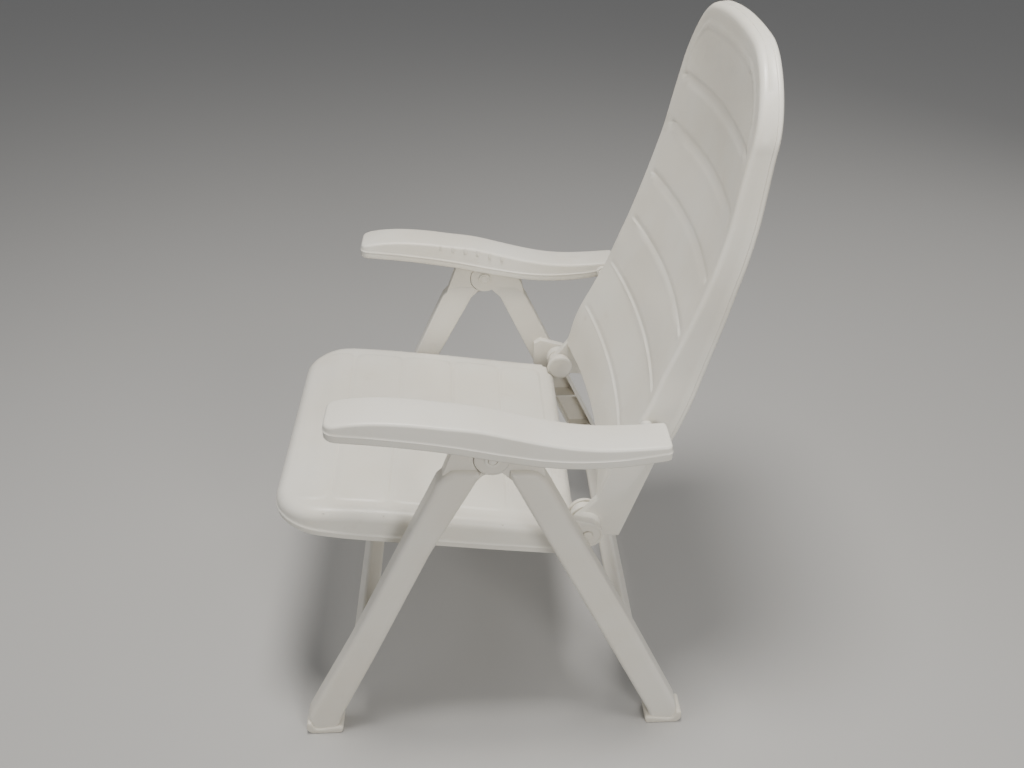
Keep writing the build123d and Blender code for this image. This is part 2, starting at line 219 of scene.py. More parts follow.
def moulded_shell(name, body, sides_at, rows_u, rows_v, top, base, edge_radius, skirt, place,
                  wall=WALL, back_radius=None):
    """A moulded shell: a top sheet, a rounded edge and a skirt down to its base.

    sides_at(inset) gives the grid's sides. top(u, v) and base(u, v) give heights. skirt is a
    list of (distance above the base, outward offset). place turns (u, v, h) into x, y, z. With
    a back_radius the base is closed by a flat sheet, otherwise the shell is open and has a wall.
    """
    core_sides = sides_at(edge_radius)
    grid = coons(core_sides, rows_u, rows_v)
    height = top(grid[..., 0], grid[..., 1])
    count_v, count_u = height.shape
    vertices = [np.column_stack((grid.reshape(-1, 2), height.reshape(-1)))]
    index = np.arange(count_v * count_u).reshape(count_v, count_u)
    faces = [(index[j, i], index[j, i + 1], index[j + 1, i + 1], index[j + 1, i])
             for j in range(count_v - 1) for i in range(count_u - 1)]
    border = np.concatenate((index[0, :-1], index[:-1, -1], index[-1, :0:-1], index[:0:-1, 0]))
    inner = border_of(core_sides)
    outer = border_of(sides_at(0.0))
    direction = outer - inner
    direction = direction / np.maximum(np.linalg.norm(direction, axis=1, keepdims=True), 1e-9)
    rings = []
    for step in range(1, EDGE_STEPS + 1):
        angle = step * pi / (2 * EDGE_STEPS)
        at = inner + (outer - inner) * sin(angle)
        rings.append((at, top(at[:, 0], at[:, 1]) - edge_radius * (1 - cos(angle))))
    floor = base(outer[:, 0], outer[:, 1])
    shoulder = top(outer[:, 0], outer[:, 1]) - edge_radius
    for above, offset in skirt:
        level = np.minimum(floor + above, shoulder - 0.3)
        rings.append((outer + direction * offset, level))
    if back_radius:
        for step in range(1, BACK_STEPS + 1):
            angle = step * pi / (2 * BACK_STEPS)
            at = outer - direction * back_radius * (1 - cos(angle))
            rings.append((at, floor - back_radius * sin(angle)))
    total = count_v * count_u
    previous = border
    size = len(border)
    for at, level in rings:
        current = total + np.arange(size)
        total += size
        vertices.append(np.column_stack((at, level)))
        faces += [(previous[k], current[k], current[(k + 1) % size], previous[(k + 1) % size])
                  for k in range(size)]
        previous = current
    if back_radius:
        faces.append(tuple(previous[::-1]))
    obj = new_object(name, place(np.concatenate(vertices)), faces, body)
    if not back_radius:
        thicken = obj.modifiers.new("wall", "SOLIDIFY")
        thicken.thickness = wall * MM
        thicken.offset = -1.0
        thicken.use_even_offset = False
        apply_modifiers(obj)
    return obj


def apply_modifiers(obj):
    """Bakes an object's modifiers into its mesh."""
    graph = bpy.context.evaluated_depsgraph_get()
    obj.data = bpy.data.meshes.new_from_object(obj.evaluated_get(graph), depsgraph=graph)
    obj.modifiers.clear()


def subtract(target, *cutters, own_folds=False):
    """Cuts closed pieces out of a mesh and removes them."""
    for cutter in cutters:
        cut = target.modifiers.new("cut", "BOOLEAN")
        cut.operation = "DIFFERENCE"
        cut.solver = "EXACT"
        cut.use_self = own_folds
        cut.object = cutter
    apply_modifiers(target)
    for cutter in cutters:
        bpy.data.objects.remove(cutter)
    finish_surface(target)


def extruded(name, body, outline, low, high, bevel):
    """A flat piece from a (y, z) outline between two x values, with softened edges."""
    points = np.array(outline, float)
    size = len(points)
    bm = bmesh.new()
    rows = [[bm.verts.new((x * MM, y * MM, z * MM)) for y, z in points] for x in (low, high)]
    bm.faces.new(rows[0])
    bm.faces.new(rows[1][::-1])
    for k in range(size):
        n = (k + 1) % size
        bm.faces.new((rows[0][k], rows[0][n], rows[1][n], rows[1][k]))
    bmesh.ops.recalc_face_normals(bm, faces=bm.faces)
    rims = [e for e in bm.edges if len({round(v.co.x, 6) for v in e.verts}) == 1]
    if bevel:
        bmesh.ops.bevel(bm, geom=rims, offset=bevel * MM, segments=3, profile=0.5, affect="EDGES")
    mesh = bpy.data.meshes.new(name)
    bm.to_mesh(mesh)
    bm.free()
    obj = bpy.data.objects.new(name, mesh)
    bpy.context.scene.collection.objects.link(obj)
    finish_surface(obj, EXTRUDED_SMOOTH_ANGLE)
    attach(obj, body)
    return obj


def lathe(name, body, centre, profile, segments=64, closed=False):
    """A turned piece about an X-parallel axis through centre (y, z), from (x, radius) points."""
    vertices, faces = [], []
    for x, radius in profile:
        for k in range(segments):
            angle = 2 * pi * k / segments
            vertices.append((x, centre[0] + radius * cos(angle), centre[1] + radius * sin(angle)))
    for row in range(len(profile) - 1):
        for k in range(segments):
            n = (k + 1) % segments
            a, b = row * segments, (row + 1) * segments
            faces.append((a + k, a + n, b + n, b + k))
    if closed:
        faces.append(tuple(range(segments)))
        faces.append(tuple(range((len(profile) - 1) * segments, len(profile) * segments))[::-1])
    return new_object(name, vertices, faces, body)


def soft_profile(points, radius, steps=4):
    """Rounds the corners of an (x, r) profile."""
    result = [points[0]]
    for before, here, after in zip(points, points[1:], points[2:]):
        a, b = np.subtract(before, here), np.subtract(after, here)
        la, lb = np.linalg.norm(a), np.linalg.norm(b)
        cut = min(radius, la / 2, lb / 2)
        start, end = here + a / la * cut, here + b / lb * cut
        for k in range(steps + 1):
            t = k / steps
            result.append(tuple((1 - t) ** 2 * start + 2 * t * (1 - t) * np.array(here) + t * t * end))
    result.append(points[-1])
    return result


# ---------------------------------------------------------------- materials
def plastic(name, colour, tint, roughness, grain=0.25, stains=0.35, seed=0.0):
    """Aged off-white polypropylene: slight yellowing, faint dirt, scuffs and a moulded grain."""
    material = bpy.data.materials.new(name)
    material.use_nodes = True
    nodes, links = material.node_tree.nodes, material.node_tree.links
    shader = nodes["Principled BSDF"]
    shader.inputs["IOR"].default_value = 1.49
    shader.inputs["Subsurface Weight"].default_value = 0.06
    shader.inputs["Subsurface Radius"].default_value = (0.006, 0.005, 0.004)
    shader.inputs["Subsurface Scale"].default_value = 1.0
    coordinates = nodes.new("ShaderNodeTexCoord")
    shift = nodes.new("ShaderNodeMapping")
    shift.inputs["Location"].default_value = (seed, seed * 0.7, seed * 1.3)
    links.new(coordinates.outputs["Object"], shift.inputs["Vector"])

    def noise(scale, detail, rough=0.55):
        node = nodes.new("ShaderNodeTexNoise")
        node.inputs["Scale"].default_value = scale
        node.inputs["Detail"].default_value = detail
        node.inputs["Roughness"].default_value = rough
        links.new(shift.outputs["Vector"], node.inputs["Vector"])
        return node.outputs["Fac"]

    def ramp(value, low, high, low_out=0.0, high_out=1.0):
        node = nodes.new("ShaderNodeMapRange")
        node.interpolation_type = "SMOOTHSTEP"
        node.inputs["From Min"].default_value = low
        node.inputs["From Max"].default_value = high
        node.inputs["To Min"].default_value = low_out
        node.inputs["To Max"].default_value = high_out
        links.new(value, node.inputs["Value"])
        return node.outputs["Result"]

    def mix(factor, first, second):
        node = nodes.new("ShaderNodeMix")
        node.data_type = "RGBA"
        links.new(factor, node.inputs["Factor"])
        for socket, value in ((node.inputs["A"], first), (node.inputs["B"], second)):
            if isinstance(value, tuple):
                socket.default_value = (*value, 1.0)
            else:
                links.new(value, socket)
        return node.outputs["Result"]

    yellowing = mix(ramp(noise(5.0, 3.0), 0.3, 0.72), colour, tint)
    dirt = mix(ramp(noise(17.0, 8.0, 0.68), 0.6, 0.8, 0.0, stains), yellowing, (0.52, 0.45, 0.34))
    specks = mix(ramp(noise(160.0, 4.0, 0.6), 0.7, 0.78, 0.0, 0.22), dirt, (0.42, 0.36, 0.27))
    links.new(specks, shader.inputs["Base Color"])
    links.new(ramp(noise(30.0, 6.0, 0.7), 0.25, 0.75, roughness - 0.06, roughness + 0.1),
              shader.inputs["Roughness"])
    fine = nodes.new("ShaderNodeBump")
    fine.inputs["Strength"].default_value = grain
    fine.inputs["Distance"].default_value = 0.00012
    links.new(noise(1400.0, 2.0), fine.inputs["Height"])
    broad = nodes.new("ShaderNodeBump")
    broad.inputs["Strength"].default_value = 0.35
    broad.inputs["Distance"].default_value = 0.0006
    links.new(noise(38.0, 3.0), broad.inputs["Height"])
    links.new(fine.outputs["Normal"], broad.inputs["Normal"])
    links.new(broad.outputs["Normal"], shader.inputs["Normal"])
    return material


def steel(name):
    """Brushed steel: fine streaks round the pin."""
    material = bpy.data.materials.new(name)
    material.use_nodes = True
    nodes, links = material.node_tree.nodes, material.node_tree.links
    shader = nodes["Principled BSDF"]
    shader.inputs["Metallic"].default_value = 1.0
    coordinates = nodes.new("ShaderNodeTexCoord")
    stretch = nodes.new("ShaderNodeMapping")
    stretch.inputs["Scale"].default_value = (900.0, 60.0, 60.0)
    links.new(coordinates.outputs["Object"], stretch.inputs["Vector"])
    streaks = nodes.new("ShaderNodeTexNoise")
    streaks.inputs["Scale"].default_value = 1.0
    streaks.inputs["Detail"].default_value = 5.0
    links.new(stretch.outputs["Vector"], streaks.inputs["Vector"])
    shades = nodes.new("ShaderNodeMix")
    shades.data_type = "RGBA"
    shades.inputs["A"].default_value = (0.50, 0.50, 0.49, 1.0)
    shades.inputs["B"].default_value = (0.68, 0.68, 0.67, 1.0)
    links.new(streaks.outputs["Fac"], shades.inputs["Factor"])
    links.new(shades.outputs["Result"], shader.inputs["Base Color"])
    spread = nodes.new("ShaderNodeMapRange")
    spread.inputs["To Min"].default_value = 0.28
    spread.inputs["To Max"].default_value = 0.42
    links.new(streaks.outputs["Fac"], spread.inputs["Value"])
    links.new(spread.outputs["Result"], shader.inputs["Roughness"])
    brushed = nodes.new("ShaderNodeBump")
    brushed.inputs["Strength"].default_value = 0.3
    brushed.inputs["Distance"].default_value = 0.00008
    links.new(streaks.outputs["Fac"], brushed.inputs["Height"])
    links.new(brushed.outputs["Normal"], shader.inputs["Normal"])
    return material


def dress(obj, material):
    """Gives an object one material."""
    obj.data.materials.clear()
    obj.data.materials.append(material)


SHELL = plastic("shell_plastic", (0.80, 0.775, 0.70), (0.755, 0.715, 0.62), 0.36, seed=0.0)
FRAME = plastic("frame_plastic", (0.79, 0.76, 0.685), (0.74, 0.70, 0.61), 0.38, stains=0.4, seed=3.0)
PINS = plastic("pin_plastic", (0.80, 0.77, 0.69), (0.74, 0.70, 0.60), 0.42, stains=0.25, seed=7.0)
FEET = plastic("foot_plastic", (0.78, 0.75, 0.67), (0.70, 0.65, 0.54), 0.46, stains=0.55, seed=11.0)
STEEL = steel("pin_steel")

# ---------------------------------------------------------------- seat
SEAT_HALF = 240.0
SEAT_EDGE_R = 17.0
seat_top_line = curve_through(((-346, 425), (-284, 430), (-212, 426), (-140, 418), (-68, 409), (4, 399),
                               (78, 389), (119, 384)))
seat_base_line = curve_through(((-346, 396), (-300, 391), (-228, 378), (-147, 367), (70, 340), (119, 335)))
SEAT_GROOVES = (-251.0, -163.0, -72.0, 15.0)
SEAT_PAD_HALF = 208.0
SEAT_PAD_FRONT, SEAT_PAD_REAR = -305.0, 92.0
SEAT_PAD_GAP, SEAT_PAD_CORNER_R, SEAT_PAD_RISE, SEAT_PAD_BLEND = 2.2, 16, 1.7, 2.2
SEAT_FRONT, SEAT_REAR = -331, 119
SEAT_FRONT_R, SEAT_REAR_R = 66, 20
SEAT_BOW = 15.0
SEAT_DISH = 3.5
SEAT_RIB_X = (-160, -80, 0, 80, 160)
SEAT_RIB_Y = (-258, -170, -82, 6, 80)
SEAT_RIB_HALF = 1.25
LUG_INNER, LUG_OUTER = 209.5, 221.5


def seat_warp(loop):
    """Bows the straight front edge forward."""
    out = loop.copy()
    weight = smooth(-150, -330, loop[:, 1])
    out[:, 1] -= SEAT_BOW * (1 - (loop[:, 0] / SEAT_HALF) ** 2) * weight
    return out


def rounded_box_distance(u, v, half_u, half_v, radius):
    """Signed distance to a rectangle with rounded corners, negative inside."""
    du, dv = np.abs(u) - half_u + radius, np.abs(v) - half_v + radius
    return np.hypot(np.maximum(du, 0), np.maximum(dv, 0)) + np.minimum(np.maximum(du, dv), 0) - radius


def seat_height(x, y):
    """Top sheet: side profile, a shallow dish and a row of low pads with grooves between."""
    z = seat_top_line(y)
    z = z - SEAT_DISH * (1 - (x / SEAT_HALF) ** 2) * smooth(-330, -220, y) * smooth(SEAT_REAR, 60, y)
    edges = [SEAT_PAD_FRONT, *SEAT_GROOVES, SEAT_PAD_REAR]
    for front, rear in zip(edges, edges[1:]):
        pad_half = (rear - front) / 2 - SEAT_PAD_GAP
        distance = rounded_box_distance(x, y - (front + rear) / 2, SEAT_PAD_HALF, pad_half,
                                        SEAT_PAD_CORNER_R)
        if front == edges[0]:
            distance = np.maximum(distance, -1 * (y - front - 14))
        z = z + SEAT_PAD_RISE * smooth(SEAT_PAD_BLEND, -SEAT_PAD_BLEND, distance)
    return z


def build_seat():
    """Open seat shell with ribs beneath, notched for the backrest's ears, with hinge lugs."""
    rows = graded(SEAT_FRONT + SEAT_EDGE_R, SEAT_REAR - SEAT_EDGE_R, 9.0, 1.2,
                  (*SEAT_GROOVES, SEAT_PAD_REAR), 6.0)
    rows_v = (rows - rows[0]) / (rows[-1] - rows[0])
    columns = graded(-SEAT_HALF + SEAT_EDGE_R, SEAT_HALF - SEAT_EDGE_R, 11.0, 1.6,
                     (-SEAT_PAD_HALF, SEAT_PAD_HALF), 5.0)
    rows_u = (columns - columns[0]) / (columns[-1] - columns[0])
    corners = ((-SEAT_HALF, SEAT_FRONT, SEAT_FRONT_R), (SEAT_HALF, SEAT_FRONT, SEAT_FRONT_R),
               (SEAT_HALF, SEAT_REAR, SEAT_REAR_R), (-SEAT_HALF, SEAT_REAR, SEAT_REAR_R))
    skirt = ((16, 0.0), (13.0, 0.3), (11.5, 1.0), (10.4, 1.9), (9.0, 2.0), (7.6, 0.9), (6.5, 0.6),
             (1.5, 1.0), (0, 0.4))
    seat = moulded_shell(
        "seat_shell", "seat", polygon_sides(corners, (0, 1, 2, 3), rows_u, rows_v, seat_warp),
        rows_u, rows_v, seat_height, lambda x, y: seat_base_line(y), SEAT_EDGE_R, skirt, lambda p: p)
    cutters = []
    for side, _ in SIDES:
        box = ((99, 300), (165, 300), (165, 460), (99, 460))
        cutters.append(extruded("ear_room", "seat", box, side * 221.9, side * 250, 0))
        cutters.append(lathe("cap_room", "seat", SEAT_PIVOT, [(side * 201.5, 26), (side * 223, 26)],
                             closed=True))
    subtract(seat, *cutters, own_folds=True)
    ribs = []
    for x in SEAT_RIB_X:
        ys = np.linspace(-318, 112, 40)
        upper = [(y, float(seat_height(np.array(x), np.array(y))) - 2) for y in ys]
        lower = [(y, z - 19) for y, z in upper[::-1]]
        ribs.append(extruded(f"seat_rib_{x}", "seat", upper + lower, x - SEAT_RIB_HALF, x + SEAT_RIB_HALF,
                             0))
    for y in SEAT_RIB_Y:
        z = float(seat_top_line(y))
        low, high = z - 22, z - 4.5
        cross = ((y - SEAT_RIB_HALF, low), (y + SEAT_RIB_HALF, low),
                 (y + SEAT_RIB_HALF, high), (y - SEAT_RIB_HALF, high))
        ribs.append(extruded(f"seat_cross_rib_{y}", "seat", cross, -236, 236, 0))
    for side, side_name in SIDES:
        lug = lathe(f"seat_lug_{side_name}", "seat", SEAT_PIVOT,
                    soft_profile([(side * LUG_INNER, 6.1), (side * LUG_INNER, 21),
                                  (side * LUG_OUTER, 21), (side * LUG_OUTER, 6.1)], 1))
        web = extruded(f"seat_web_{side_name}", "seat", ((30, 350), (30, 388), (112, 379), (125, 400),
                (140, 375), (112, 345)),
                       side * LUG_INNER, side * LUG_OUTER, 1.0)
        ribs += [lug, web]
    join(seat, *ribs)
    dress(seat, SHELL)
    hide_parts("seat")


build_seat()

# ---------------------------------------------------------------- backrest
back_crease = curve_through(((427, 141), (504, 161), (550, 183), (600, 206), (650, 223), (700, 241),
                             (750, 257.5), (800, 272), (850, 284.5), (900, 293), (950, 301), (1000,
                                     308), (1040, 312), (1078, 315)))
back_rear = curve_through(((427, 190), (504, 223), (542, 244), (571, 255), (617, 270), (672, 284),
                           (719, 295), (777, 307), (826, 318), (865, 325), (907, 330), (953, 334), (995,
                                   338), (1049, 341), (1078, 342)))
back_half = curve_through(((427, 234), (490, 234), (560, 236.5), (600, 235.5), (650, 231.5), (700, 231),
                           (760, 232), (800, 231), (850, 227), (900, 221), (940, 217), (1000, 213), (1078,
                                   210)))
BACK_EDGE_R = 9.0
BACK_GROOVES = (524.0, 612.0, 699.0, 780.0, 866.0, 949.0)
BACK_DISH = 24.0
BACK_TOP_LINE = 31.0
BACK_RIDGE, BACK_RIDGE_WIDTH = 1.6, 1.6
GROOVE_DEPTH, GROOVE_WIDTH, GROOVE_BOW = 2.0, 7.0, 5.0
GROOVE_LIP, GROOVE_LIP_WIDTH = 0.7, 1.5


def back_depth(x, z):
    """Front sheet as a y value: crease, sideways dish, top ridge and grooves with a raised lower lip."""
    half = back_half(z)
    y = back_crease(z)
    across_top = np.hypot(np.maximum(np.abs(x) - ARCH_X, 0), np.maximum(z - ARCH_Z, 0))
    rim = np.where(z > ARCH_Z, BACK_TOP_R - across_top, half - np.abs(x))
    y = y + BACK_DISH * (1 - (x / half) ** 2) * (0.2 + 0.8 * smooth(1085, 840, z))
    y = y - BACK_RIDGE * np.exp(-((rim - BACK_TOP_LINE) / BACK_RIDGE_WIDTH) ** 2) * smooth(935, 985, z)
    for groove in BACK_GROOVES:
        across = z - (groove - GROOVE_BOW * (1 - (x / half) ** 2))
        valley = np.exp(-(np.maximum(across, 0) / GROOVE_WIDTH) ** 2) * smooth(-1.6, 0.6, across)
        ends = smooth(0, 14, half - 20 - np.abs(x))
        y = y + GROOVE_DEPTH * valley * ends
        y = y - GROOVE_LIP * np.exp(-((across + 2.2) / GROOVE_LIP_WIDTH) ** 2) * ends
    return y


BACK_LOW, BACK_HIGH = 427.0, 1074.0
BACK_TOP_R, BACK_LOW_R = 110.0, 12.0
BACK_CAMBER = 14.0
ARCH_X, ARCH_Z = 104.0, 964.0


def back_sides(inset):
    """Grid sides of the backrest's front outline, with each grid corner in a rounded corner."""
    def corner(z_centre, radius, up, angles):
        x = back_half(z_centre) - radius + (radius - inset) * np.cos(angles)
        return np.column_stack((x, z_centre + up * (radius - inset) * np.sin(angles)))

    low_centre, top_centre = BACK_LOW + BACK_LOW_R, BACK_HIGH - BACK_TOP_R
    half_turn = np.linspace(0, pi / 4, BACK_ARC_STEPS + 1)
    straight_z = BACK_ROWS
    straight = np.column_stack((back_half(straight_z) - inset, straight_z))
    side = np.concatenate((corner(low_centre, BACK_LOW_R, -1, half_turn[:0:-1]), straight,
                           corner(top_centre, BACK_TOP_R, 1, half_turn[1:])))
    outer_turn = np.linspace(pi / 4, pi / 2, BACK_ARC_STEPS + 1)

    def crest(z_centre, radius, up):
        arc = corner(z_centre, radius, up, outer_turn)
        edge = np.linspace(arc[-1, 0], -arc[-1, 0], BACK_COLUMNS)[1:-1]
        middle = np.column_stack((edge, np.full(len(edge), arc[-1, 1])))
        left = arc[::-1] * (-1, 1)
        return np.concatenate((arc, middle, left))[::-1]

    return (crest(low_centre, BACK_LOW_R, -1), side, crest(top_centre, BACK_TOP_R, 1), side * (-1, 1))


BACK_ARC_STEPS = 14
BACK_COLUMNS = 44
BACK_ROWS = graded(BACK_LOW + BACK_LOW_R, BACK_HIGH - BACK_TOP_R, 8.0, 1.3, [g - 2 for g in BACK_GROOVES],
                   13.0)


def build_backrest():
    """Open backrest shell with a turned rim, its two ears and the bosses on them."""
    bottom, right, _, _ = back_sides(BACK_EDGE_R)
    rows_u = (bottom[:, 0] - bottom[0, 0]) / (bottom[-1, 0] - bottom[0, 0])
    rows_v = (right[:, 1] - right[0, 1]) / (right[-1, 1] - right[0, 1])

    def base(x, z):
        deep = smooth(0, 14, np.maximum(z - 434, np.abs(x) - 216))
        return -(back_rear(z) * deep + (back_depth(x, z) + 13) * (1 - deep))

    skirt = ((18, 0.5), (8.6, 0.9), (7.6, 1.5), (6.6, 1.6), (5.8, 1.0), (4.8, 1.5), (2, 1.8), (0, 1.0))
    back = moulded_shell(
        "backrest_shell", "back", back_sides, rows_u, rows_v,
        lambda x, z: -back_depth(x, z), base, BACK_EDGE_R, skirt,
        lambda p: np.column_stack((
            p[:, 0], -p[:, 2], p[:, 1] - BACK_CAMBER * (p[:, 0] / 150) ** 2 * smooth(900, 1070, p[:, 1]))))
    ears = []
    for side, side_name in SIDES:
        outline, _ = rounded_polygon(((183, 366.5, 3), (224, 500, 8), (236, 534, 4), (190, 534, 4),
                                      (166, 505, 20), (146, 440, 12),
                                      (128, 416, 12), (112, 400, 12), (116, 377, 10), (140, 369.5, 8)))
        ear = extruded(f"ear_{side_name}", "back", outline, side * 222.8, side * 235.6, 2.5)
        boss = lathe(f"ear_boss_{side_name}", "back", SEAT_PIVOT,
                     soft_profile([(side * 234, 6.05), (side * 234, 22), (side * 249, 22),
                                   (side * 249, 6.05)], 1.2))
        flare = soft_profile([(side * 220, 6.1), (side * 224, 9), (side * 243.4, 9), (side * 243.4, 6.1)],
                             1.2)
        ears += [ear, boss, lathe(f"arm_boss_{side_name}", "back", ARM_PIVOT, flare)]
    join(back, *ears)
    dress(back, SHELL)
    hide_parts("backrest")


build_backrest()

# ---------------------------------------------------------------- armrests
ARM_INNER, ARM_OUTER = 244.0, 310.0
ARM_MIDDLE = (ARM_INNER + ARM_OUTER) / 2
ARM_HALF = (ARM_OUTER - ARM_INNER) / 2
ARM_CROWN = 1.6
TOOTH_COUNT, TOOTH_FIRST, TOOTH_PITCH = 6, 21.0, 22.0
arm_top_line = curve_through(((-231, 631), (-200, 636), (-173, 637.5), (-125, 635), (-73, 628),
                              (-28, 621.5), (21, 609), (60, 599), (100, 591), (138, 587.5), (180,
                                      588), (230, 591)))
arm_base_line = curve_through(((-231, 609), (-153, 600), (-62, 585), (5, 570), (58, 560), (99, 556),
                               (157, 557), (227, 567)))


def build_armrest(side, side_name):
    """Open S-curved armrest with teeth for the latch peg and a socket for the armrest pin."""
    corners = ((ARM_INNER, -231, 13), (ARM_OUTER, -231, 16), (ARM_OUTER, 230, 6), (ARM_INNER, 230, 6))

    def narrow_rear(loop):
        out = loop.copy()
        out[:, 0] += 8.0 * smooth(140, 228, loop[:, 1]) * smooth(ARM_OUTER - 10, ARM_INNER + 10, loop[:, 0])
        return out

    rows_u = np.linspace(0, 1, 15)
    rows_v = np.linspace(0, 1, 90)

    def height(x, y):
        crown = ARM_CROWN * (1 - ((x - ARM_MIDDLE) / ARM_HALF) ** 2)
        return arm_top_line(y) + crown - ARM_CROWN

    skirt = ((15, 0.4), (12.4, 0.7), (11.5, 1.6), (10.4, 1.6), (9.5, 0.8), (1.5, 1.2), (0, 0.6))
    arm = moulded_shell(
        f"armrest_shell_{side_name}", f"armrest_{side_name}",
        polygon_sides(corners, (0, 1, 2, 3), rows_u, rows_v, narrow_rear), rows_u, rows_v,
        height, lambda x, y: arm_base_line(y), 4.2, skirt,
        lambda p: np.column_stack((side * p[:, 0], p[:, 1], p[:, 2])), wall=2.8)
    pieces = []
    for tooth in range(TOOTH_COUNT):
        y = TOOTH_FIRST - TOOTH_PITCH * tooth
        roof = float(arm_top_line(y)) - 3
        outline = ((y - 2.5, roof - 9), (y + 2.5, roof - 9), (y + 2.5, roof + 1), (y - 2.5, roof + 1))
        pieces.append(extruded(f"tooth_{side_name}_{tooth}", f"armrest_{side_name}", outline,
                               side * (ARM_INNER + 2), side * (ARM_OUTER - 2), 0.8))
    pieces.append(lathe(f"arm_socket_{side_name}", f"armrest_{side_name}", ARM_PIVOT,
                        soft_profile([(side * 245, 5.05), (side * 245, 11), (side * 260, 11),
                                      (side * 260, 5.05)], 1.0)))
    join(arm, *pieces)
    dress(arm, SHELL)
    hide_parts(f"armrest_{side_name}")


for arm_side, arm_name in SIDES:
    build_armrest(arm_side, arm_name)

# ---------------------------------------------------------------- legs and feet
LEG_INNER, LEG_OUTER, PLATE_OUTER = 262.0, 295.0, 285.0
HUB_R, HUB_PLAY = 26.0, 0.8
LEG_LEVELS = (50.0, 130.0, 210.0, 290.0, 340.0)


def mirrored(side, points):
    return [(side * x, radius) for x, radius in points]


def edge_at(edge, z):
    """y of an open (y, z) polyline at height z."""
    ys, zs = np.array(sorted(edge, key=lambda p: p[1]), float).T
    return float(np.interp(z, zs, ys))


def leg_shell(name, body, side, corners, grid_corners, left_edge, right_edge):
    """A soft-edged leg bar with pockets between cross ribs on its inner face."""
    rows_u = np.linspace(0, 1, 9)
    rows_v = np.linspace(0, 1, 60)
    leg = moulded_shell(
        name, body, polygon_sides(corners, grid_corners, rows_u, rows_v), rows_u, rows_v,
        lambda y, z: np.full(np.shape(y), LEG_OUTER), lambda y, z: np.full(np.shape(y), LEG_INNER + 2.5),
        8.5, ((18, 0.0), (8, 0.0), (0, 0.0)), lambda p: np.column_stack((side * p[:, 2], p[:, 0], p[:, 1])),
        back_radius=2.5)
    pockets = []
    for low, high in zip(LEG_LEVELS, LEG_LEVELS[1:]):
        low, high = low + 1.6, high - 1.6
        outline, _ = rounded_polygon((
            (edge_at(left_edge, low) + 4.5, low, 2), (edge_at(right_edge, low) - 4.5, low, 2),
            (edge_at(right_edge, high) - 4.5, high, 2), (edge_at(left_edge, high) + 4.5, high, 2)), 4)
        pockets.append(extruded("pocket", body, outline, side * (LEG_INNER - 2), side * (LEG_OUTER - 3.5),
                                0))
    subtract(leg, *pockets)
    return leg


def arc(centre, radius, start, end, steps=24):
    """(y, z) points along an arc given in degrees."""
    angles = np.radians(np.linspace(start, end, steps + 1))
    return [(centre[0] + radius * cos(a), centre[1] + radius * sin(a)) for a in angles]


def build_front_leg(side, side_name):
    """Front leg with its side plate and the tongue that turns in the rear leg's hub."""
    corners = ((-312, 4, 9), (-268, 4, 5), (-258, 36, 20), (-200, 163, 200), (-100, 391, 200),
               (-23, 538, 3),
               (-68, 539, 17), (-88, 520, 16), (-233, 200, 200), (-316, 32, 12))
    left_edge = ((-316, 32), (-233, 200), (-84, 528))
    right_edge = ((-258, 40), (-200, 163), (-100, 391))
    leg = leg_shell(f"front_leg_bar_{side_name}", "front_frame", side, corners, (0, 1, 5, 6), left_edge,
                    right_edge)
    plate = extruded(f"front_plate_{side_name}", "front_frame",
                     ((-80, 528), (-56, 594), (-15, 596), (-15, 536), (-50, 500)),
                     side * (LEG_INNER + 0.6), side * PLATE_OUTER, 1.0)
    for piece in (leg, plate):
        subtract(piece, lathe("hub_room", "front_frame", LEG_PIVOT,
                              [(side * 255, HUB_R + HUB_PLAY),
                               (side * 300, HUB_R + HUB_PLAY)], closed=True))
    tongue = extruded(f"front_tongue_{side_name}", "front_frame",
                      arc(LEG_PIVOT, 24, 120, 330) + [(-30, 520), (-60, 500),
                                                      (-60, 560)], side * 268.8, side * 279.2, 0.8)
    join(leg, plate, tongue)
    dress(leg, FRAME)
    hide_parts(f"front_leg_{side_name}")


